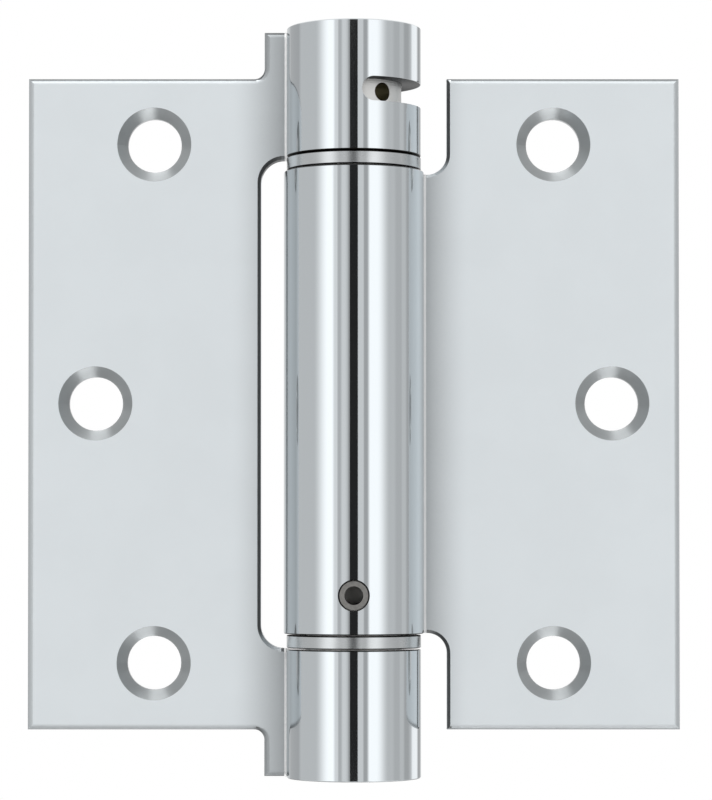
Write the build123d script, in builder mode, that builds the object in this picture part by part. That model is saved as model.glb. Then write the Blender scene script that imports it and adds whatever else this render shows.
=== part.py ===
from build123d import *
from math import asin, cos, degrees, radians, sin, sqrt
import os

# Self-closing spring hinge with square corners, opened flat. Millimetres, +Z up.
# The origin is on the barrel's axis at mid-height. The countersunk faces look along -Y,
# the jamb leaf lies to -X and the door leaf to +X.

# Leaves, two plates of the same rolled steel sheet
leaf_height = 88.9
leaf_reach = 44.45  # outer edge of a leaf, from the axis
sheet = 2.6
leaf_setback = 2.2  # front face of a leaf, behind the axis
edge_round = 0.8  # rounding of the outer front edges
relief_reach = 12.7  # cut edge beside the knuckles, from the axis
relief_radius = 3.2  # inner corners of those cuts
relief_break = 0.45  # chamfer along the front edges of those cuts
neck_reach = 12.2  # outer edge of the jamb leaf's necks, from the axis
neck_fillet = 1.4  # corner between a neck and the end of the leaf

# Screw holes
screw_hole_dia = 7.35
countersink_dia = 10.1
countersink_angle = 82
screw_spacing = 70.8  # upper hole to lower hole
screw_reach = 27.26  # upper and lower holes, from the axis
middle_screw_reach = 35.26  # middle hole, from the axis

# Knuckles of the jamb leaf and barrel of the door leaf, rolled from the sheet
hinge_height = 101.6
knuckle_dia = 18.2
knuckle_length = 17.4
barrel_dia = 19.0
bend_radius = 4.4  # middle of the sheet, where it bends away into a curl
seam_gap = 0.15  # between the free end of a curl and its leaf
end_break = 0.12  # chamfer round the ends of knuckles and barrel

# Thrust washers between the knuckles and the barrel
washer_thickness = 1.7
washer_break = 0.08
washer_fit = 0.1  # round the plug that passes through, on the radius
end_gap = 0.2  # either side of a washer

# Tension slot in the upper knuckle, angles from the front towards the door leaf
slot_height = 3.3
slot_level = 8.15  # middle of the slot, above the knuckle's lower end
slot_start = 7
slot_end = 150

# Turned plugs in the ends of the barrel
running_fit = 0.05  # plug in its bore, on the radius
plug_recess = 0.6  # outer end of a plug, inside its knuckle
plug_break = 0.5
shoulder_drop = 0.2  # shoulder of a plug, inside the end of the barrel
collar_length = 6.0  # tension plug's collar inside the barrel
spigot_length = 7.0
adjuster_holes = 6
adjuster_hole_dia = 2.5
adjuster_hole_depth = 3.2
adjuster_hole_angle = 37  # first hole, from the front towards the door leaf
hex_key = 4.0  # across the flats
hex_depth = 5.5

# Torsion spring, left-hand, of flat wire with both ends bent in across the axis
wire_thickness = 1.3  # across the coil
wire_height = 2.8  # along the axis
coil_gap = 0.8  # between turns, at least
coil_room = 0.6  # coil inside the barrel's bore, on the radius
tang_bend = 1.8  # middle of the wire, from the coil into the tang
tang_thickness = 1.2  # the wire's ends, pressed a little thinner
tang_reach = 3.9  # tang past the axis
tang_fit = 0.1  # each side of the tang in its slot
tang_lap = 10  # degrees of the coil that a tang is joined along
seat_gap = 0.05  # end of the spring, from its plug

# Hollow pin that anchors the lower plug in the barrel
pin_dia = 3.85
pin_bore = 2.5
pin_level = 5.25  # above the barrel's lower end
pin_sink = 0.3  # outer end of the pin, below the barrel's crown
pin_tail = 2.0  # inner end of the pin, past the axis
pin_fit = 0.03  # in the plug, on the radius
pin_wall_fit = 0.15  # in the barrel's wall, on the radius
pin_cover = 4.5  # plug above the pin's axis

# Levels and radii that the pieces share
hinge_top = hinge_height / 2
knuckle_end = hinge_top - knuckle_length
washer_top = knuckle_end - end_gap
washer_bottom = washer_top - washer_thickness
barrel_end = washer_bottom - end_gap
knuckle_bore = knuckle_dia / 2 - sheet
barrel_bore = barrel_dia / 2 - sheet
journal_radius = knuckle_bore - running_fit
body_radius = barrel_bore - running_fit
coil_radius = barrel_bore - coil_room - wire_thickness / 2
spigot_radius = sqrt((coil_radius - tang_bend) ** 2 - tang_bend**2)  # as far as the tangs are straight
plug_end = hinge_top - plug_recess
shoulder = barrel_end - shoulder_drop
collar_bottom = shoulder - collar_length
pin_height = pin_level - barrel_end
body_top = pin_height + pin_cover
slot_middle = knuckle_end + slot_level
front = Plane.XZ.offset(-leaf_setback)
tiny = sheet / 100


def bend_start(outer_dia):
    """Distance from the axis at which a leaf leaves its plane to form a curl of this diameter."""
    reach = outer_dia / 2 - sheet / 2 + bend_radius
    rise = leaf_setback + sheet / 2 + bend_radius
    return sqrt(reach**2 - rise**2)


def curl_section(outer_dia):
    """Plan section of the jamb leaf's sheet, from the start of its bend to the free end of the curl."""
    outer = outer_dia / 2
    start = bend_start(outer_dia)
    bend_center = (-start, leaf_setback + sheet / 2 + bend_radius)
    turn = degrees(asin(start / (outer - sheet / 2 + bend_radius)))
    seam = degrees(asin((leaf_setback - seam_gap) / outer))
    curl = 270 + turn + seam
    with BuildSketch() as section:
        with BuildLine():
            bend_front = CenterArc(bend_center, bend_radius + sheet / 2, -90, turn)
            bend_back = CenterArc(bend_center, bend_radius - sheet / 2, -90, turn)
            bore = CenterArc((0, 0), outer - sheet, 90 + turn, -curl)
            skin = CenterArc((0, 0), outer, 90 + turn, -curl)
            Line(bend_front @ 0, bend_back @ 0)
            Line(bore @ 1, skin @ 1)
        make_face()
    return section.sketch


def radial_plane(angle, radius, height):
    """Plane that faces outwards at an angle from the front towards the door leaf."""
    outwards = Vector(sin(radians(angle)), -cos(radians(angle)), 0)
    return Plane(origin=outwards * radius + Vector(0, 0, height), z_dir=outwards)


def rim_edges(curl, outer_dia):
    """Outer edges round the ends of a curl."""
    arcs = curl.edges().filter_by(GeomType.CIRCLE)
    return arcs.filter_by(lambda arc: abs(arc.radius - outer_dia / 2) < tiny)


def front_edges(plate, start):
    """Front edges of a leaf, apart from the one where its bend starts."""
    edges = plate.faces().sort_by(Axis.Y)[0].edges()
    return edges.filter_by(lambda edge: abs(edge.center().X) > start + tiny)


def outer_edges(edges):
    """Those that face away from the barrel."""
    return edges.filter_by(
        lambda edge: abs(edge.center().Z) > leaf_height / 2 - tiny
        or abs(edge.center().X) > leaf_reach - tiny
    )


def relief_edges(edges):
    """Those of the cuts beside the knuckles."""
    return edges.filter_by(
        lambda edge: abs(edge.center().Z) < leaf_height / 2 - tiny
        and abs(edge.center().X) < relief_reach + tiny
    )


# Jamb leaf: the plate with its two necks
jamb_start = bend_start(knuckle_dia)
neck_rise = hinge_top - leaf_height / 2
neck_corner = min(neck_fillet, 0.45 * neck_rise)
with BuildPart() as jamb_plate:
    with BuildSketch(front) as jamb_outline:
        with Locations((-jamb_start, 0)):
            Rectangle(leaf_reach - jamb_start, leaf_height, align=(Align.MAX, Align.CENTER))
            Rectangle(neck_reach - jamb_start, hinge_height, align=(Align.MAX, Align.CENTER))
            Rectangle(
                relief_reach - jamb_start,
                2 * knuckle_end,
                align=(Align.MAX, Align.CENTER),
                mode=Mode.SUBTRACT,
            )
        window_side = jamb_outline.vertices().filter_by_position(
            Axis.X, -relief_reach - tiny, -relief_reach + tiny
        )
        fillet(window_side, min(relief_radius, 0.95 * (relief_reach - jamb_start)))
        neck_side = jamb_outline.vertices().filter_by_position(
            Axis.X, -neck_reach - tiny, -neck_reach + tiny
        )
        fillet(neck_side.sort_by(Axis.Y)[1:3], neck_corner)
    extrude(amount=-sheet)
    chamfer(relief_edges(front_edges(jamb_plate, jamb_start)), relief_break)
    neck_round = min(edge_round, 0.9 * (neck_rise - neck_corner))
    fillet(outer_edges(front_edges(jamb_plate, jamb_start)), neck_round)
    with Locations(front):
        with Locations(
            (-screw_reach, screw_spacing / 2),
            (-middle_screw_reach, 0),
            (-screw_reach, -screw_spacing / 2),
        ):
            CounterSinkHole(screw_hole_dia / 2, countersink_dia / 2, counter_sink_angle=countersink_angle)

# Jamb leaf: the knuckles rolled at the ends of its necks, and the tension slot
slot_round = degrees(asin(slot_height / knuckle_dia))
slot_first = slot_start + slot_round
slot_last = slot_end - slot_round
with BuildPart() as jamb_leaf:
    for level in (knuckle_end, -hinge_top):
        with BuildSketch(Plane.XY.offset(level)):
            add(curl_section(knuckle_dia))
        extrude(amount=knuckle_length)
    chamfer(rim_edges(jamb_leaf, knuckle_dia), end_break)
    add(jamb_plate.part)
    with BuildSketch(Plane.XY.offset(slot_middle - slot_height / 2)):
        with BuildLine():
            inside = CenterArc((0, 0), knuckle_bore / 2, slot_first - 90, slot_last - slot_first)
            outside = CenterArc((0, 0), knuckle_dia, slot_first - 90, slot_last - slot_first)
            Line(inside @ 0, outside @ 0)
            Line(inside @ 1, outside @ 1)
        make_face()
    extrude(amount=slot_height, mode=Mode.SUBTRACT)
    with BuildSketch(
        radial_plane(slot_first, knuckle_bore / 2, slot_middle),
        radial_plane(slot_last, knuckle_bore / 2, slot_middle),
    ):
        Circle(slot_height / 2)
    extrude(amount=knuckle_dia, mode=Mode.SUBTRACT)

# Door leaf: the plate with its one neck
door_start = bend_start(barrel_dia)
with BuildPart() as door_plate:
    with BuildSketch(front) as door_outline:
        with Locations((relief_reach, 0)):
            Rectangle(leaf_reach - relief_reach, leaf_height, align=(Align.MIN, Align.CENTER))
        with Locations((door_start, 0)):
            Rectangle(relief_reach - door_start, 2 * barrel_end, align=(Align.MIN, Align.CENTER))
        notch_side = door_outline.vertices().filter_by_position(
            Axis.X, relief_reach - tiny, relief_reach + tiny
        )
        fillet(notch_side.sort_by(Axis.Y)[1:3], min(relief_radius, 0.95 * (relief_reach - door_start)))
    extrude(amount=-sheet)
    chamfer(relief_edges(front_edges(door_plate, door_start)), relief_break)
    fillet(outer_edges(front_edges(door_plate, door_start)), edge_round)
    with Locations(front):
        with Locations(
            (screw_reach, screw_spacing / 2),
            (middle_screw_reach, 0),
            (screw_reach, -screw_spacing / 2),
        ):
            CounterSinkHole(screw_hole_dia / 2, countersink_dia / 2, counter_sink_angle=countersink_angle)

# Door leaf: the long barrel rolled at the end of its neck, with the pin's hole in front
with BuildPart() as door_leaf:
    with BuildSketch(Plane.XY.offset(-barrel_end)):
        add(curl_section(barrel_dia))
        mirror(about=Plane.YZ, mode=Mode.REPLACE)
    extrude(amount=2 * barrel_end)
    chamfer(rim_edges(door_leaf, barrel_dia), end_break)
    add(door_plate.part)
    with BuildSketch(radial_plane(0, 0, pin_height)):
        Circle(pin_dia / 2 + pin_wall_fit)
    extrude(amount=barrel_dia, mode=Mode.SUBTRACT)


def washer(bottom):
    """Thrust washer whose lower face is at this level."""
    with BuildPart() as ring:
        with BuildSketch(Plane.XY.offset(bottom)):
            Circle(knuckle_dia / 2)
            Circle(journal_radius + washer_fit, mode=Mode.SUBTRACT)
        extrude(amount=washer_thickness)
        chamfer(ring.edges().filter_by(GeomType.CIRCLE).group_by(SortBy.RADIUS)[-1], washer_break)
    return ring


upper_washer = washer(washer_bottom)
lower_washer = washer(-washer_top)

# Torsion spring: a left-hand coil with a tang at each end
spring_bottom = body_top + seat_gap + wire_height / 2
spring_top = collar_bottom - seat_gap - wire_height / 2
turns = int((spring_top - spring_bottom) / (wire_height + coil_gap))
tang_angle = degrees(asin(tang_bend / (coil_radius - tang_bend)))


def tang_plan():
    """Plan of the lower tang: across the axis, round its bend and along the start of the coil."""
    with BuildSketch() as plan:
        with BuildLine():
            bend = CenterArc((coil_radius - tang_bend, 0), tang_bend, 90 + tang_angle, -90 - tang_angle)
            Line((bend @ 0).normalized() * -tang_reach, bend @ 0)
            CenterArc((0, 0), coil_radius, 0, -tang_lap)
        trace(line_width=tang_thickness)
    return plan.sketch


def tang_slot():
    """Plan of the slot in a plug's spigot that takes the lower tang."""
    with BuildSketch(Plane.XY.rotated((0, 0, tang_angle))) as slot:
        Rectangle(2 * coil_radius, tang_thickness + 2 * tang_fit)
    return slot.sketch


with BuildPart() as torsion_spring:
    with BuildLine():
        coil = Helix(
            pitch=(spring_top - spring_bottom) / turns,
            height=spring_top - spring_bottom,
            radius=coil_radius,
            center=(0, 0, spring_bottom),
            lefthand=True,
        )
    with BuildSketch(Plane(origin=coil @ 0, x_dir=(1, 0, 0), z_dir=coil % 0)):
        Rectangle(wire_thickness, wire_height)
    sweep(path=coil, is_frenet=True)
    with BuildSketch(Plane.XY.offset(spring_bottom - wire_height / 2)):
        add(tang_plan())
    extrude(amount=wire_height)
    with BuildSketch(Plane.XY.offset(spring_top - wire_height / 2)):
        add(tang_plan())
        mirror(about=Plane.XZ, mode=Mode.REPLACE)
    extrude(amount=wire_height)

# Tension plug: journal in the upper knuckle, collar in the barrel, spigot in the spring
with BuildPart() as tension_plug:
    with BuildSketch(Plane.XZ):
        with BuildLine():
            Polyline(
                (0, collar_bottom - spigot_length),
                (spigot_radius, collar_bottom - spigot_length),
                (spigot_radius, collar_bottom),
                (body_radius, collar_bottom),
                (body_radius, shoulder),
                (journal_radius, shoulder),
                (journal_radius, plug_end - plug_break),
                (journal_radius - plug_break, plug_end),
                (0, plug_end),
                close=True,
            )
        make_face()
    revolve(axis=Axis.Z)
    with BuildSketch(Plane.XY.offset(collar_bottom)):
        add(tang_slot())
        mirror(about=Plane.XZ, mode=Mode.REPLACE)
    extrude(amount=-spigot_length, mode=Mode.SUBTRACT)
    with BuildSketch(Plane.XY.offset(plug_end)):
        RegularPolygon(hex_key / 2, 6, major_radius=False)
    extrude(amount=-hex_depth, mode=Mode.SUBTRACT)
    hole_step = 360 / adjuster_holes
    with BuildSketch(
        *[
            radial_plane(adjuster_hole_angle + hole_step * hole, journal_radius, slot_middle)
            for hole in range(adjuster_holes)
        ]
    ):
        Circle(adjuster_hole_dia / 2)
    extrude(amount=-adjuster_hole_depth, mode=Mode.SUBTRACT)

# Anchor plug: journal in the lower knuckle, body pinned in the barrel, spigot in the spring
with BuildPart() as anchor_plug:
    with BuildSketch(Plane.XZ):
        with BuildLine():
            Polyline(
                (0, -plug_end),
                (journal_radius - plug_break, -plug_end),
                (journal_radius, plug_break - plug_end),
                (journal_radius, -shoulder),
                (body_radius, -shoulder),
                (body_radius, body_top),
                (spigot_radius, body_top),
                (spigot_radius, body_top + spigot_length),
                (0, body_top + spigot_length),
                close=True,
            )
        make_face()
    revolve(axis=Axis.Z)
    with BuildSketch(Plane.XY.offset(body_top)):
        add(tang_slot())
    extrude(amount=spigot_length, mode=Mode.SUBTRACT)
    with BuildSketch(radial_plane(0, -pin_tail, pin_height)):
        Circle(pin_dia / 2 + pin_fit)
    extrude(amount=barrel_dia, mode=Mode.SUBTRACT)

# Anchor pin: a hollow pin, driven in from the front
with BuildPart() as anchor_pin:
    with BuildSketch(radial_plane(0, -pin_tail, pin_height)):
        Circle(pin_dia / 2)
        Circle(pin_bore / 2, mode=Mode.SUBTRACT)
    extrude(amount=barrel_dia / 2 - pin_sink + pin_tail)

pieces = {
    "jamb_leaf": jamb_leaf,
    "door_leaf": door_leaf,
    "upper_washer": upper_washer,
    "lower_washer": lower_washer,
    "tension_plug": tension_plug,
    "torsion_spring": torsion_spring,
    "anchor_plug": anchor_plug,
    "anchor_pin": anchor_pin,
}
os.makedirs("parts", exist_ok=True)
for name, piece in pieces.items():
    piece.part.label = name
    export_step(piece.part, f"parts/{name}.step")
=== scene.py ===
import bmesh
import bpy
import math
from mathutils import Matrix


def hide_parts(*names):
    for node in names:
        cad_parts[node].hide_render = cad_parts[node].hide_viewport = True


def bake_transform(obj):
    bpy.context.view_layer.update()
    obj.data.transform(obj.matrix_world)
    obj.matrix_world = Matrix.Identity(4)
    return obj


# The self-closing spring hinge stands opened flat, as its solids do, and its finishes are laid on them.
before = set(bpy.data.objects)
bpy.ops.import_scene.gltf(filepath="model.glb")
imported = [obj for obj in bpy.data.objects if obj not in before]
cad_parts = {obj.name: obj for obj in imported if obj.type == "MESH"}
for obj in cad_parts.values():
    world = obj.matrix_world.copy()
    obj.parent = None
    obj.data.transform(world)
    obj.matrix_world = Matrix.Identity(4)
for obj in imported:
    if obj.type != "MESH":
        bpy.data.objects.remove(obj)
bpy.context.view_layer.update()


# The two leaves. Each is one steel sheet, punched, countersunk and rolled round into its knuckles or
# barrel, then chromed. The rolled skin is polished bright and the flat leaf is left satin. Shade is
# painted into the colour in the crease, round the outer and punched edges, inside the curls and along
# the curl.

# Sizes in millimetres, from the barrel's axis and from mid-height
BARREL_RADIUS = 9.5
KNUCKLE_RADIUS = 9.1
SKIN_DEPTH = 0.04
WALL_DEPTH = 0.12
SATIN_EDGE = 0.3
LEAF_END = 44.25
SCREW_REACH = 27.26
SCREW_HEIGHT = 35.4
MIDDLE_SCREW_REACH = 35.26
COUNTERSINK_RADIUS = 5.05
COUNTERSINK_EDGE = 0.03
RING_PITCH = 0.35
CUTS_START = 9.9
CUTS_END = 13.3
CREASE_START = 7.6
KNUCKLE_CREASE_END = 17.0
BARREL_CREASE_END = 15.9
BURNISHED_LINE = 0.36
BURNISHED_EDGE = 0.06
WASHER_GAP_MIDDLE = 32.35
WASHER_GAP_REACH = 1.25
PIN_HOLE_RADIUS = 2.12
PIN_LEVEL = -26.05
RELIEF_DEPTH = 0.0015

# Colours of the plating, of the countersinks and of the painted shade in the gaps
BRIGHT_CHROME = (0.597, 0.631, 0.652)
SATIN_CHROME = (0.883, 0.931, 0.958)
# Chrome of the cut edges and the insides of the curls, before their painted shade
EDGE_AND_INSIDE_CHROME = (0.97, 1.0, 1.0)
BURNISHED_CHROME = (0.86, 0.86, 0.86, 1.0)
TURNED_CHROME = (0.425, 0.445, 0.453, 1.0)
# Near black, painted as shade in the gaps at the washers and round the pin
GAP_SHADE = (0.012, 0.011, 0.010, 1.0)

# Shares of the chrome's colour left where shade is painted, and where the plating is cloudy
CREASE_SHADE_SHARE = 0.50
SHADED_STRIP_SHARE = 0.69
CUT_SIDE_SHADE = 0.20
CUT_UNDERSIDE_SHADE = 0.14
INSIDE_SHADE = 0.33
SIDE_EDGE_SHADE = 0.6
TOP_EDGE_SHADE = 0.26
BOTTOM_EDGE_SHADE = 0.4
CLOUD_SHARE = 0.985

# How far a spot faces a way, where a finish starts and where it is full
FACES_OUT = 0.9
FACES_UP = 0.5
FACES_BACK = 0.5
NOT_IN_FRONT = (0.95, 0.85)
NOT_AT_SIDE = (0.97, 0.9)
NOT_ON_TOP = (0.45, 0.15)
UNDER_CUT = (-0.2, -0.6)
ON_CURL_END = (0.2, 0.4)
ON_SIDE_EDGE = (0.0, 0.3)
ON_TOP_EDGE = (-0.5, -0.1)
ON_BOTTOM_EDGE = (0.02, -0.75)
ON_FLAT_END = (0.6, 0.8)
BURNISHED_LEAN = 0.35

# The strip of painted shade along the curl, in radii of the curl to the jamb side of the axis
SHADED_STRIP_BEGINS = (0.77, 0.82)
SHADED_STRIP_ENDS = (0.965, 0.93)

# Roughness, with its least and its most where it wavers
BRIGHT_ROUGHNESS = (0.05, 0.07)
SATIN_ROUGHNESS = (0.46, 0.52)
CUT_AND_INSIDE_ROUGHNESS = 0.55
TURNED_ROUGHNESS = 0.30
SHEET_ANISOTROPY = 0.7

# Grain of the finishes, as a stretch along each axis and a scale
EVEN = (1.0, 1.0, 1.0)
CLOUD_SCALE = 0.12
SATIN_SCALE = 3.0
HAZE_STRETCH = (1.0, 1.0, 0.12)
HAZE_SCALE = 0.9
BRUSH_STRETCH = (0.7, 14.0, 14.0)
BRUSH_SCALE = 1.0
BRUSH_DETAIL = 2.0
UP = (0.0, 0.0, 1.0)
MILLIMETRES = 1000.0

# The middle of the noise, from the value that gives none of a change to the value that gives all
NOISE_MIDDLE = (0.3, 0.7)
NARROW_MIDDLE = (0.35, 0.65)


def add_node(tree, kind, inputs=None, **settings):
    """New node with its settings. Each input is linked from a socket or set to a value."""
    node = tree.nodes.new(kind)
    for name, value in settings.items():
        setattr(node, name, value)
    for key, value in (inputs or {}).items():
        if isinstance(value, bpy.types.NodeSocket):
            tree.links.new(value, node.inputs[key])
        else:
            node.inputs[key].default_value = value
    return node


def calculate(tree, operation, *values):
    """Result of one step of arithmetic."""
    return add_node(tree, "ShaderNodeMath", dict(enumerate(values)), operation=operation).outputs[0]


def product(tree, first, *others):
    """All the values multiplied, which for shares is where all of them hold."""
    result = first
    for other in others:
        result = calculate(tree, "MULTIPLY", result, other)
    return result


def size_of(tree, value):
    """The value without its sign."""
    return calculate(tree, "ABSOLUTE", value)


def vector(tree, operation, *values):
    """Result of one step of vector arithmetic, a number where the step gives one."""
    node = add_node(tree, "ShaderNodeVectorMath", dict(enumerate(values)), operation=operation)
    return node.outputs["Value" if operation in ("LENGTH", "DOT_PRODUCT") else "Vector"]


def parts_of(tree, value):
    """The x, y and z of a vector."""
    return add_node(tree, "ShaderNodeSeparateXYZ", {0: value}).outputs


def vector_of(tree, x=0.0, z=0.0):
    """A vector across the front of the hinge."""
    return add_node(tree, "ShaderNodeCombineXYZ", {0: x, 2: z}).outputs[0]


def fade(tree, value, start, end, low=0.0, high=1.0):
    """Smooth change from low to high while the value goes from start to end."""
    limits = {"Value": value, "From Min": start, "From Max": end, "To Min": low, "To Max": high}
    node = add_node(tree, "ShaderNodeMapRange", limits, interpolation_type="SMOOTHSTEP")
    return node.outputs["Result"]


def blend(tree, share, first, second):
    """First number where the share is 0, second where it is 1."""
    return add_node(tree, "ShaderNodeMix", {"Factor": share, 2: first, 3: second}).outputs[0]


def blend_colours(tree, share, first, second):
    """First colour or vector where the share is 0, second where it is 1."""
    inputs = {"Factor": share, 6: first, 7: second}
    return add_node(tree, "ShaderNodeMix", inputs, data_type="RGBA").outputs[2]


def metal(name):
    """New metal, its shader, and the place and the facing of each spot, the place in millimetres."""
    material = bpy.data.materials.new(name)
    material.use_nodes = True
    tree = material.node_tree
    shader = tree.nodes["Principled BSDF"]
    shader.inputs["Metallic"].default_value = 1.0
    spot = add_node(tree, "ShaderNodeTexCoord")
    place = vector(tree, "MULTIPLY", spot.outputs["Object"], (MILLIMETRES,) * 3)
    return material, tree, shader, place, spot.outputs["Normal"]


def grain(tree, place, stretch, scale, detail=3.0):
    """Noise in millimetres, drawn out along the axes that have a small stretch."""
    drawn = vector(tree, "MULTIPLY", place, stretch)
    settings = {"Vector": drawn, "Scale": scale, "Detail": detail}
    return add_node(tree, "ShaderNodeTexNoise", settings).outputs["Fac"]


def emboss(tree, shader, height, depth, **facing):
    """Relief on a metal, of this depth in millimetres."""
    relief = {"Height": height, "Strength": 1.0, "Distance": depth / MILLIMETRES, **facing}
    tree.links.new(add_node(tree, "ShaderNodeBump", relief).outputs[0], shader.inputs["Normal"])


def from_nearest_screw(tree, place):
    """Distance along the leaf from the nearest screw hole, as a vector."""
    x, _, z = parts_of(tree, place)
    side = calculate(tree, "SIGN", x)
    end = calculate(tree, "SIGN", z)
    outer_x = calculate(tree, "SUBTRACT", x, product(tree, side, SCREW_REACH))
    outer_z = calculate(tree, "SUBTRACT", z, product(tree, end, SCREW_HEIGHT))
    middle_x = calculate(tree, "SUBTRACT", x, product(tree, side, MIDDLE_SCREW_REACH))
    from_outer = vector_of(tree, outer_x, outer_z)
    from_middle = vector_of(tree, middle_x, z)
    near_middle = calculate(tree, "LESS_THAN", size_of(tree, z), SCREW_HEIGHT / 2)
    return blend_colours(tree, near_middle, from_outer, from_middle)


def chromed_sheet_finish(name, curl_radius, crease_end):
    """Satin leaf with a bright curl of this radius, turned countersinks and painted shade on its edges.

    Its painted crease shade fades out at this distance from the axis."""
    material, tree, shader, place, facing = metal(name)
    x, y, z = parts_of(tree, place)
    facing_x, facing_y, facing_z = parts_of(tree, facing)
    reach = size_of(tree, x)
    height = size_of(tree, z)
    sideways = size_of(tree, facing_x)
    frontwards = size_of(tree, facing_y)
    upright = size_of(tree, facing_z)

    # The rolled skin faces straight away from the axis, and a burnished line beside it leans up
    across = vector(tree, "MULTIPLY", place, (1.0, 1.0, 0.0))
    from_axis = vector(tree, "LENGTH", across)
    outwards = vector(tree, "NORMALIZE", across)
    near_skin = calculate(tree, "COMPARE", from_axis, curl_radius, SKIN_DEPTH)
    faces_out = calculate(tree, "GREATER_THAN", vector(tree, "DOT_PRODUCT", facing, outwards), FACES_OUT)
    skin = product(tree, near_skin, faces_out)
    line_end = curl_radius + BURNISHED_LINE
    rolled_over = fade(tree, reach, line_end + BURNISHED_EDGE, line_end - BURNISHED_EDGE)
    lean = vector_of(tree, z=product(tree, rolled_over, BURNISHED_LEAN))
    leaning = vector(tree, "NORMALIZE", vector(tree, "ADD", facing, lean))
    smooth = blend_colours(tree, skin, leaning, outwards)
    turn = {"vector_type": "NORMAL", "convert_from": "OBJECT", "convert_to": "WORLD"}
    smooth = add_node(tree, "ShaderNodeVectorTransform", {0: smooth}, **turn).outputs[0]

    # Shares of satin and of the turned countersinks
    satin = fade(tree, from_axis, curl_radius, curl_radius + SATIN_EDGE)
    from_hole = from_nearest_screw(tree, place)
    hole_distance = vector(tree, "LENGTH", from_hole)
    rim_start = COUNTERSINK_RADIUS + COUNTERSINK_EDGE
    rim_end = COUNTERSINK_RADIUS - COUNTERSINK_EDGE
    turned = fade(tree, hole_distance, rim_start, rim_end)
    turned = product(tree, turned, calculate(tree, "LESS_THAN", facing_y, FACES_BACK))

    # Share of painted shade on the punched edges beside the curl, darker on their undersides, and inside
    # the curl
    past_curl = calculate(tree, "GREATER_THAN", reach, CUTS_START)
    before_screws = calculate(tree, "LESS_THAN", reach, CUTS_END)
    within_leaf = calculate(tree, "LESS_THAN", height, LEAF_END)
    beside_curl = product(tree, past_curl, before_screws, within_leaf)
    steep = product(tree, fade(tree, frontwards, *NOT_IN_FRONT), fade(tree, sideways, *NOT_AT_SIDE))
    punched = product(tree, beside_curl, steep, fade(tree, facing_z, *NOT_ON_TOP))
    inside = fade(tree, from_axis, curl_radius - SKIN_DEPTH, curl_radius - WALL_DEPTH)
    inside = product(tree, inside, calculate(tree, "LESS_THAN", facing_z, FACES_UP))
    shaded_cuts_and_inside = calculate(tree, "MAXIMUM", punched, inside)
    # Painted shade: the cut edges are darkened, most on their undersides, and the insides of the curls
    # too
    cut_and_inside_shade = fade(tree, facing_z, *UNDER_CUT, CUT_SIDE_SHADE, CUT_UNDERSIDE_SHADE)
    cut_and_inside_shade = product(tree, cut_and_inside_shade, blend(tree, inside, 1.0, INSIDE_SHADE))
    shaded_cut_chrome = vector(tree, "MULTIPLY", EDGE_AND_INSIDE_CHROME, cut_and_inside_shade)

    # Share of painted shade in the gaps, at the washers and round the anchor pin
    at_washers = calculate(tree, "COMPARE", height, WASHER_GAP_MIDDLE, WASHER_GAP_REACH)
    on_curl = calculate(tree, "LESS_THAN", from_axis, curl_radius + SKIN_DEPTH)
    gap_shade_end = product(tree, fade(tree, upright, *ON_CURL_END), at_washers, on_curl)
    from_pin = vector_of(tree, x, calculate(tree, "SUBTRACT", z, PIN_LEVEL))
    round_pin = calculate(tree, "LESS_THAN", vector(tree, "LENGTH", from_pin), PIN_HOLE_RADIUS)
    in_front = calculate(tree, "LESS_THAN", y, 0.0)
    gap_shade = calculate(tree, "MAXIMUM", gap_shade_end, product(tree, round_pin, in_front))

    # Colour of the leaf: a trace of cloudiness, with painted shade towards the crease and round the
    # outer edges
    cloud = fade(tree, grain(tree, place, EVEN, CLOUD_SCALE), *NARROW_MIDDLE, 1.0, CLOUD_SHARE)
    # Painted shade: darker towards the crease beside the curl, and on the side, top and bottom edges by
    # their facing
    crease_shade = fade(tree, reach, CREASE_START, crease_end, CREASE_SHADE_SHARE, 1.0)
    side_edges = fade(tree, sideways, *ON_SIDE_EDGE, 1.0, SIDE_EDGE_SHADE)
    side_edges = blend(tree, beside_curl, side_edges, 1.0)
    upwards = calculate(tree, "SUBTRACT", facing_z, frontwards)
    top_edges = fade(tree, upwards, *ON_TOP_EDGE, 1.0, TOP_EDGE_SHADE)
    top_edges = blend(tree, beside_curl, top_edges, 1.0)
    bottom_edges = fade(tree, facing_z, *ON_BOTTOM_EDGE, 1.0, BOTTOM_EDGE_SHADE)
    cloud_and_shade = product(tree, cloud, crease_shade, side_edges, top_edges, bottom_edges)
    satin_chrome = vector(tree, "MULTIPLY", SATIN_CHROME, cloud_and_shade)
    satin_chrome = blend_colours(tree, rolled_over, satin_chrome, BURNISHED_CHROME)

    # Colour of the curl: bright, with painted shade in a strip along its jamb side
    along_side = calculate(tree, "DIVIDE", x, -curl_radius)
    begun = fade(tree, along_side, *SHADED_STRIP_BEGINS)
    shade_strip = product(tree, begun, fade(tree, along_side, *SHADED_STRIP_ENDS))
    strip_shade = blend(tree, shade_strip, 1.0, SHADED_STRIP_SHARE)
    bright_chrome = vector(tree, "MULTIPLY", BRIGHT_CHROME, strip_shade)
    colour = blend_colours(tree, satin, bright_chrome, satin_chrome)
    colour = blend_colours(tree, shaded_cuts_and_inside, colour, shaded_cut_chrome)
    colour = blend_colours(tree, turned, colour, TURNED_CHROME)
    colour = blend_colours(tree, gap_shade, colour, GAP_SHADE)
    tree.links.new(colour, shader.inputs["Base Color"])

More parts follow.
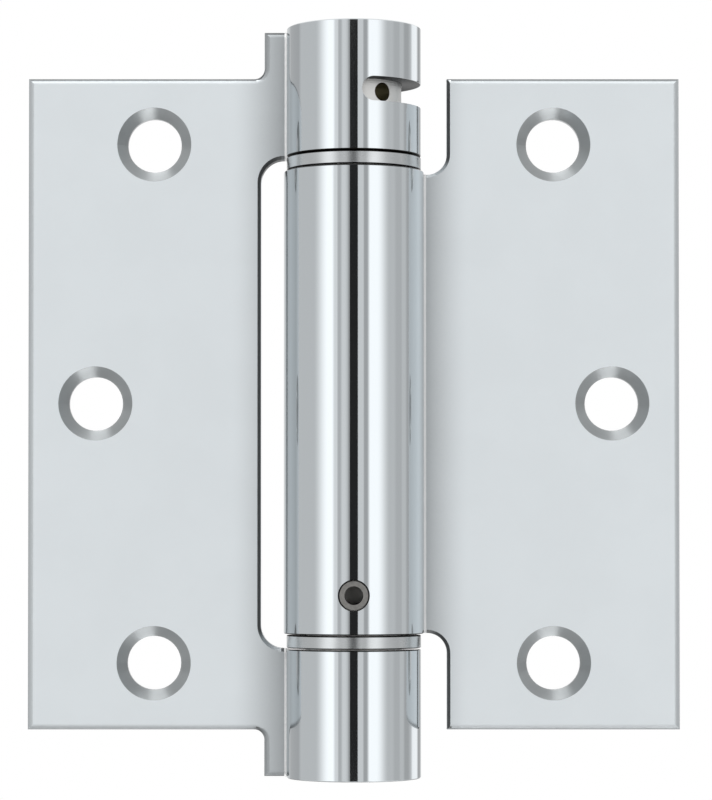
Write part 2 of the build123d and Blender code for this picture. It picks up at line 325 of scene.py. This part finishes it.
    # Gloss: polishing haze on the bright curl, even satin on the leaf
    haze = grain(tree, place, HAZE_STRETCH, HAZE_SCALE)
    bright_roughness = fade(tree, haze, *NOISE_MIDDLE, *BRIGHT_ROUGHNESS)
    frost = grain(tree, place, EVEN, SATIN_SCALE)
    satin_roughness = fade(tree, frost, *NOISE_MIDDLE, *SATIN_ROUGHNESS)
    roughness = blend(tree, satin, bright_roughness, satin_roughness)
    roughness = blend(tree, shaded_cuts_and_inside, roughness, CUT_AND_INSIDE_ROUGHNESS)
    roughness = blend(tree, turned, roughness, TURNED_ROUGHNESS)
    tree.links.new(roughness, shader.inputs["Roughness"])

    # Turning rings and the brush marks along the leaf's width spread the light across themselves
    away = vector(tree, "NORMALIZE", from_hole)
    spread = blend_colours(tree, fade(tree, upright, *ON_FLAT_END), (*UP, 1.0), outwards)
    tree.links.new(blend_colours(tree, turned, spread, away), shader.inputs["Tangent"])
    shader.inputs["Anisotropic"].default_value = SHEET_ANISOTROPY

    # Relief: brush marks on the leaf, rings in the countersinks
    brush = product(tree, grain(tree, place, BRUSH_STRETCH, BRUSH_SCALE, BRUSH_DETAIL), satin)
    rings = calculate(tree, "SINE", product(tree, hole_distance, 2 * math.pi / RING_PITCH))
    emboss(tree, shader, blend(tree, turned, brush, rings), RELIEF_DEPTH, Normal=smooth)
    return material


def dress(node, material):
    """Gives a solid its finish."""
    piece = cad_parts[node]
    piece.data.materials.clear()
    piece.data.materials.append(material)


dress("jamb_leaf", chromed_sheet_finish("chromed_knuckles", KNUCKLE_RADIUS, KNUCKLE_CREASE_END))
dress("door_leaf", chromed_sheet_finish("chromed_barrel", BARREL_RADIUS, BARREL_CREASE_END))


# The thrust washers. Two rings of mild steel, turned from bar, that keep the knuckles from grinding
# on the barrel. Their rims show the fine rings of the lathe tool, with painted shade along their edges.
WASHER_STEEL = (0.55, 0.57, 0.58)
WASHER_ROUGHNESS = 0.21
WASHER_RING_PITCH = 0.22
WASHER_RING_DEPTH = 0.0002
WASHER_ANISOTROPY = 0.3
WASHER_INNER = 31.5
WASHER_OUTER = 33.2
# Width of the painted shade along the washer's rim edges, and its fade
SHADED_RIM_WIDTH = 0.16
SHADED_RIM_FADE = 0.08
STAIN_SCALE = 0.35
STAIN_SHARE = 0.94
STREAK_STRETCH = (0.25, 0.25, 9.0)
STREAK_SCALE = 1.0
STREAK_SHARE = 0.05
RING_WANDER = 4.0


def turned_finish(name, colour, roughness, ring_pitch, ring_depth, anisotropy):
    """Metal that was turned about the barrel's axis, with rings of this pitch and depth in millimetres.

    Gives its place and its colour too, for what else lies on it."""
    material, tree, shader, place, _ = metal(name)
    stain = fade(tree, grain(tree, place, EVEN, STAIN_SCALE), *NOISE_MIDDLE, 1.0, STAIN_SHARE)
    clean = vector(tree, "MULTIPLY", colour, stain)
    tree.links.new(clean, shader.inputs["Base Color"])
    streak = grain(tree, place, STREAK_STRETCH, STREAK_SCALE)
    least = (1.0 - STREAK_SHARE) * roughness
    most = (1.0 + STREAK_SHARE) * roughness
    tree.links.new(fade(tree, streak, *NOISE_MIDDLE, least, most), shader.inputs["Roughness"])
    turns = product(tree, parts_of(tree, place)[2], 2 * math.pi / ring_pitch)
    wander = product(tree, streak, RING_WANDER)
    rings = calculate(tree, "SINE", calculate(tree, "ADD", turns, wander))
    emboss(tree, shader, rings, ring_depth)
    shader.inputs["Tangent"].default_value = UP
    shader.inputs["Anisotropic"].default_value = anisotropy
    return material, tree, shader, place, clean


def edge_shaded_washer_finish():
    """Turned washer with painted shade along the edges of its rim."""
    rings = (WASHER_RING_PITCH, WASHER_RING_DEPTH)
    washer = turned_finish("washer_steel", WASHER_STEEL, WASHER_ROUGHNESS, *rings, WASHER_ANISOTROPY)
    material, tree, shader, place, clean = washer
    height = size_of(tree, parts_of(tree, place)[2])
    outer_edge = fade(tree, height, WASHER_OUTER - SHADED_RIM_WIDTH, WASHER_OUTER - SHADED_RIM_FADE)
    inner_edge = fade(tree, height, WASHER_INNER + SHADED_RIM_WIDTH, WASHER_INNER + SHADED_RIM_FADE)
    gap_shade = calculate(tree, "MAXIMUM", outer_edge, inner_edge)
    tree.links.new(blend_colours(tree, gap_shade, clean, GAP_SHADE), shader.inputs["Base Color"])
    return material


washer_steel = edge_shaded_washer_finish()
for washer in ("upper_washer", "lower_washer"):
    dress(washer, washer_steel)


# The torsion spring. Flat spring wire, coiled left-hand and oil-tempered, so it is dark and a little
# glossy. Its bent ends sit in the slots of the two plugs, so it winds up as the upper plug is turned.
SPRING_WIRE = (0.16, 0.155, 0.15, 1.0)
BLUED_WIRE = (0.11, 0.105, 0.115, 1.0)
TEMPER_SCALE = 0.4
TEMPER_PATCHES = (0.35, 0.7)
FILM_SCALE = 1.4
FILM_ROUGHNESS = (0.26, 0.42)
FILM_DEPTH = 0.004
SAME_POINT = 1e-6
SHARP_EDGE = math.radians(30)


def tempered_wire_finish():
    """Dark oiled wire with patches of temper colour."""
    material, tree, shader, place, _ = metal("spring_wire")
    patches = fade(tree, grain(tree, place, EVEN, TEMPER_SCALE), *TEMPER_PATCHES)
    tree.links.new(blend_colours(tree, patches, SPRING_WIRE, BLUED_WIRE), shader.inputs["Base Color"])
    film = grain(tree, place, EVEN, FILM_SCALE)
    tree.links.new(fade(tree, film, *NOISE_MIDDLE, *FILM_ROUGHNESS), shader.inputs["Roughness"])
    emboss(tree, shader, film, FILM_DEPTH)
    return material


def merged_copy(node, name):
    """Copy of a solid as a piece of its own, with its loose triangles joined."""
    joined = bmesh.new()
    joined.from_mesh(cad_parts[node].data)
    bmesh.ops.remove_doubles(joined, verts=joined.verts, dist=SAME_POINT)
    mesh = bpy.data.meshes.new(name)
    joined.to_mesh(mesh)
    joined.free()
    mesh.attributes.remove(mesh.attributes["custom_normal"])
    mesh.shade_smooth()
    mesh.set_sharp_from_angle(angle=SHARP_EDGE)
    piece = bpy.data.objects.new(name, mesh)
    bpy.context.collection.objects.link(piece)
    return piece


winding_spring = merged_copy("torsion_spring", "winding_spring")
winding_spring.data.materials.append(tempered_wire_finish())
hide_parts("torsion_spring")
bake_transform(winding_spring)


# The two plugs. Steel bar, turned to fit the knuckles and the barrel and dull plated. The upper one
# is drilled for its lock pin and has a hex socket, and the slot in the knuckle shows it.
PLUG_STEEL = (0.70, 0.70, 0.688)
# Bare drilled steel, darkened as painted shade inside the adjuster holes
SHADED_HOLE_STEEL = (0.36, 0.34, 0.26, 1.0)
PLUG_ROUGHNESS = 0.42
PLUG_RING_PITCH = 0.30
PLUG_RING_DEPTH = 0.001
PLUG_ANISOTROPY = 0.4
JOURNAL_RADIUS = 6.45
DRILLED_DEPTH = (0.08, 0.2)
ADJUSTER_HOLE_LEVEL = 41.55
ADJUSTER_HOLE_REACH = 1.5


def drilled_plug_finish():
    """Turned plug whose adjuster holes are bare steel, with shade painted dark inside them."""
    rings = (PLUG_RING_PITCH, PLUG_RING_DEPTH)
    plug = turned_finish("plug_steel", PLUG_STEEL, PLUG_ROUGHNESS, *rings, PLUG_ANISOTROPY)
    material, tree, shader, place, clean = plug
    height = parts_of(tree, place)[2]
    level = calculate(tree, "COMPARE", height, ADJUSTER_HOLE_LEVEL, ADJUSTER_HOLE_REACH)
    from_axis = vector(tree, "LENGTH", vector(tree, "MULTIPLY", place, (1.0, 1.0, 0.0)))
    deep = fade(tree, from_axis, JOURNAL_RADIUS - DRILLED_DEPTH[0], JOURNAL_RADIUS - DRILLED_DEPTH[1])
    shaded_hole = product(tree, level, deep)
    tree.links.new(blend_colours(tree, shaded_hole, clean, SHADED_HOLE_STEEL), shader.inputs["Base Color"])
    return material


plug_steel = drilled_plug_finish()
for plug in ("tension_plug", "anchor_plug"):
    dress(plug, plug_steel)


# The anchor pin. A short steel tube, driven through the barrel's wall into the lower plug. Its end is
# cut square and left dull.
PIN_STEEL = (0.29, 0.286, 0.274)
CUT_SCALE = 2.2
CUT_SHARE = 0.85
CUT_ROUGHNESS = (0.45, 0.6)
CUT_DEPTH = 0.008


def cut_tube_finish():
    """Dull grey steel with the marks of the cut."""
    material, tree, shader, place, _ = metal("pin_steel")
    marks = grain(tree, place, EVEN, CUT_SCALE)
    worn = fade(tree, marks, *NARROW_MIDDLE, 1.0, CUT_SHARE)
    tree.links.new(vector(tree, "MULTIPLY", PIN_STEEL, worn), shader.inputs["Base Color"])
    tree.links.new(fade(tree, marks, *NOISE_MIDDLE, *CUT_ROUGHNESS), shader.inputs["Roughness"])
    emboss(tree, shader, marks, CUT_DEPTH)
    return material


dress("anchor_pin", cut_tube_finish())


# The floor. A round sheet of pale card, well below the hinge and too small to show behind it in the
# photograph's view. The metal doesn't mirror it, so that only the studio's lights show there.
FLOOR_LEVEL = -0.30
FLOOR_RADIUS = 2.4
FLOOR_SIDES = 96
FLOOR_CARD = (0.71, 0.71, 0.705, 1.0)
FLOOR_ROUGHNESS = 0.9
turns = [2 * math.pi * step / FLOOR_SIDES for step in range(FLOOR_SIDES)]
rim = [(FLOOR_RADIUS * math.cos(turn), FLOOR_RADIUS * math.sin(turn), FLOOR_LEVEL) for turn in turns]
floor_mesh = bpy.data.meshes.new("floor")
floor_mesh.from_pydata(rim, [], [list(range(FLOOR_SIDES))])
floor = bpy.data.objects.new("floor", floor_mesh)
bpy.context.collection.objects.link(floor)
floor_card = bpy.data.materials.new("floor_card")
floor_card.use_nodes = True
card_shader = floor_card.node_tree.nodes["Principled BSDF"]
card_shader.inputs["Base Color"].default_value = FLOOR_CARD
card_shader.inputs["Roughness"].default_value = FLOOR_ROUGHNESS
floor_mesh.materials.append(floor_card)
floor.visible_glossy = False


# The studio. Soft upright cards stand round the hinge at its own height and give the polished barrel
# its bands. A strip light hangs above the hinge, a little to the left, and another lies below it, a
# little to the right. Past the floor's edge a cove sweeps up to white.

# Each card's name, then degrees round the hinge from the camera to the right: where it starts and ends
# and how wide its soft edges are before and after. Its brightness comes last.
CARDS = (
    ("left_back_wall", -170, -112, 8, 10, 0.80),
    ("left_strip", -33, -28, 2, 2, 1.02),
    ("left_softbox", -42, -36, 28, 5, 1.58),
    ("left_flag", -25, -23, 1.5, 3, 0.65),
    ("left_panel", -18.5, -15, 3, 6, 0.93),
    ("left_shade", -8.2, -6, 2.5, 1, 0.49),
    ("right_panel", 6, 15.2, 1, 1.5, 0.885),
    ("right_flag", 17.6, 21.2, 2.2, 3, 0.54),
    ("right_softbox", 27, 38, 4.5, 24, 1.53),
    ("right_dim", 76, 84, 8, 3, 0.64),
    ("right_gap", 99, 106, 6, 10, 0.55),
    ("right_rim", 122, 136, 8, 8, 1.33),
    ("right_back_gap", 148, 156, 6, 6, 0.49),
)
CAMERA_FLAG = ("camera_flag", -6.3, 6.3, 0.8, 0.8, 0.026)
CARDS_LOW = -9
CARDS_HIGH = 13
CARDS_EDGE = 3

# Brightness of the room between, above and below the cards, which spill a part of their light there
ROOM = 0.74
OVERHEAD = 1.08
LOW_ROOM = 0.97
CARDS_SPILL = 0.30
CARDS_MEAN = 0.9

# The room's four corners are dimmer, by degrees from the two sides
CORNER_ROOM = 0.76
SIDE = 90.0
PAST_SIDES = (18.0, 34.0)
BEFORE_ENDS = (76.0, 56.0)

# Brightness of the strips and of the glow to the right of them, and how far they reach
OVERHEAD_STRIP = 2.85
LOW_STRIP = 3.15
STRIPS_LEAN = math.radians(12.4)
STRIPS_REACH = (0.45, 0.30)
STRIPS_EDGE = (0.40, 0.14)
GLOW = 0.7
GLOW_BEGINS = (-0.05, 0.05)
GLOW_ENDS = (0.9, 0.1)

# The cove, in degrees above the level of the eye
COVE_FOOT = -9.8
COVE_TOP = -5.5
COVE_FOOT_BRIGHTNESS = 0.83
WHITE = (1.0, 1.0, 1.0, 1.0)

studio = bpy.data.worlds.new("studio")
studio.use_nodes = True
bpy.context.scene.world = studio
tree = studio.node_tree
tree.nodes.clear()
direction = vector(tree, "NORMALIZE", add_node(tree, "ShaderNodeTexCoord").outputs["Generated"])
right, back, up = parts_of(tree, direction)
around = calculate(tree, "DEGREES", calculate(tree, "ARCTAN2", right, product(tree, back, -1.0)))
height = calculate(tree, "DEGREES", calculate(tree, "ARCSINE", up))


def stand_card(light, name, start, end, edge_before, edge_after, brightness):
    """The room's light with one more card in front of it."""
    begun = fade(tree, around, float(start - edge_before), float(start))
    not_past = fade(tree, around, float(end + edge_after), float(end))
    share = product(tree, begun, not_past)
    mixed = add_node(tree, "ShaderNodeMix", {"Factor": share, 2: light, 3: brightness})
    mixed.label = name
    return mixed.outputs[0]


bands = ROOM
for card in CARDS:
    bands = stand_card(bands, *card)
spill = calculate(tree, "MULTIPLY_ADD", bands, CARDS_SPILL, 1.0 - CARDS_SPILL * CARDS_MEAN)
bands = stand_card(bands, *CAMERA_FLAG)
from_side = size_of(tree, calculate(tree, "SUBTRACT", size_of(tree, around), SIDE))
corners = product(tree, fade(tree, from_side, *PAST_SIDES), fade(tree, from_side, *BEFORE_ENDS))
spill = product(tree, spill, fade(tree, corners, 0.0, 1.0, 1.0, CORNER_ROOM))

across = vector(tree, "NORMALIZE", vector(tree, "MULTIPLY", direction, (1.0, 0.0, 1.0)))
beside = (math.cos(STRIPS_LEAN), 0.0, math.sin(STRIPS_LEAN))
from_strips = vector(tree, "DOT_PRODUCT", across, beside)
level = fade(tree, size_of(tree, back), *STRIPS_REACH)
strips = product(tree, level, fade(tree, size_of(tree, from_strips), *STRIPS_EDGE))
glow = product(tree, fade(tree, from_strips, *GLOW_BEGINS), fade(tree, from_strips, *GLOW_ENDS), level)
glow = product(tree, fade(tree, glow, 0.0, 1.0, 1.0, 1.0 + GLOW), spill)

overhead = blend(tree, strips, product(tree, glow, OVERHEAD), OVERHEAD_STRIP)
low = blend(tree, strips, product(tree, glow, LOW_ROOM), LOW_STRIP)
above = fade(tree, height, CARDS_HIGH - CARDS_EDGE, CARDS_HIGH + CARDS_EDGE)
below = fade(tree, height, CARDS_LOW + CARDS_EDGE, CARDS_LOW - CARDS_EDGE)
light = blend(tree, below, blend(tree, above, bands, overhead), low)
room_light = add_node(tree, "ShaderNodeBackground", {"Color": WHITE, "Strength": light})
cove = fade(tree, height, COVE_FOOT, COVE_TOP, COVE_FOOT_BRIGHTNESS, 1.0)
backdrop = add_node(tree, "ShaderNodeBackground", {"Color": WHITE, "Strength": cove})
seen = add_node(tree, "ShaderNodeLightPath").outputs["Is Camera Ray"]
shown = {0: seen, 1: room_light.outputs[0], 2: backdrop.outputs[0]}
either = add_node(tree, "ShaderNodeMixShader", shown)
add_node(tree, "ShaderNodeOutputWorld", {"Surface": either.outputs[0]})
bpy.context.scene.view_settings.view_transform = "Standard"


# The camera. It stands square in front of the open hinge with a long lens, a little below mid-height.
# It looks up by about a degree, and its film is shifted up for the rest, to take in the whole hinge.
PICTURE_WIDTH = 712
PICTURE_HEIGHT = 800
CAMERA_DISTANCE = 0.430
CAMERA_HEIGHT = -0.020
CAMERA_TILT = 1.13
LENS_PIXELS = 3171
AXIS_COLUMN = 353.82
AIM_ROW = 487.5
SENSOR = 36.0
view = bpy.data.cameras.new("camera")
view.sensor_width = SENSOR
view.lens = SENSOR * LENS_PIXELS / PICTURE_HEIGHT
view.shift_x = (PICTURE_WIDTH / 2 - AXIS_COLUMN) / PICTURE_HEIGHT
view.shift_y = (AIM_ROW - PICTURE_HEIGHT / 2) / PICTURE_HEIGHT
camera = bpy.data.objects.new("camera", view)
camera.location = (0.0, -CAMERA_DISTANCE, CAMERA_HEIGHT)
camera.rotation_euler = (math.radians(90 + CAMERA_TILT), 0.0, 0.0)
bpy.context.collection.objects.link(camera)
bpy.context.scene.camera = camera
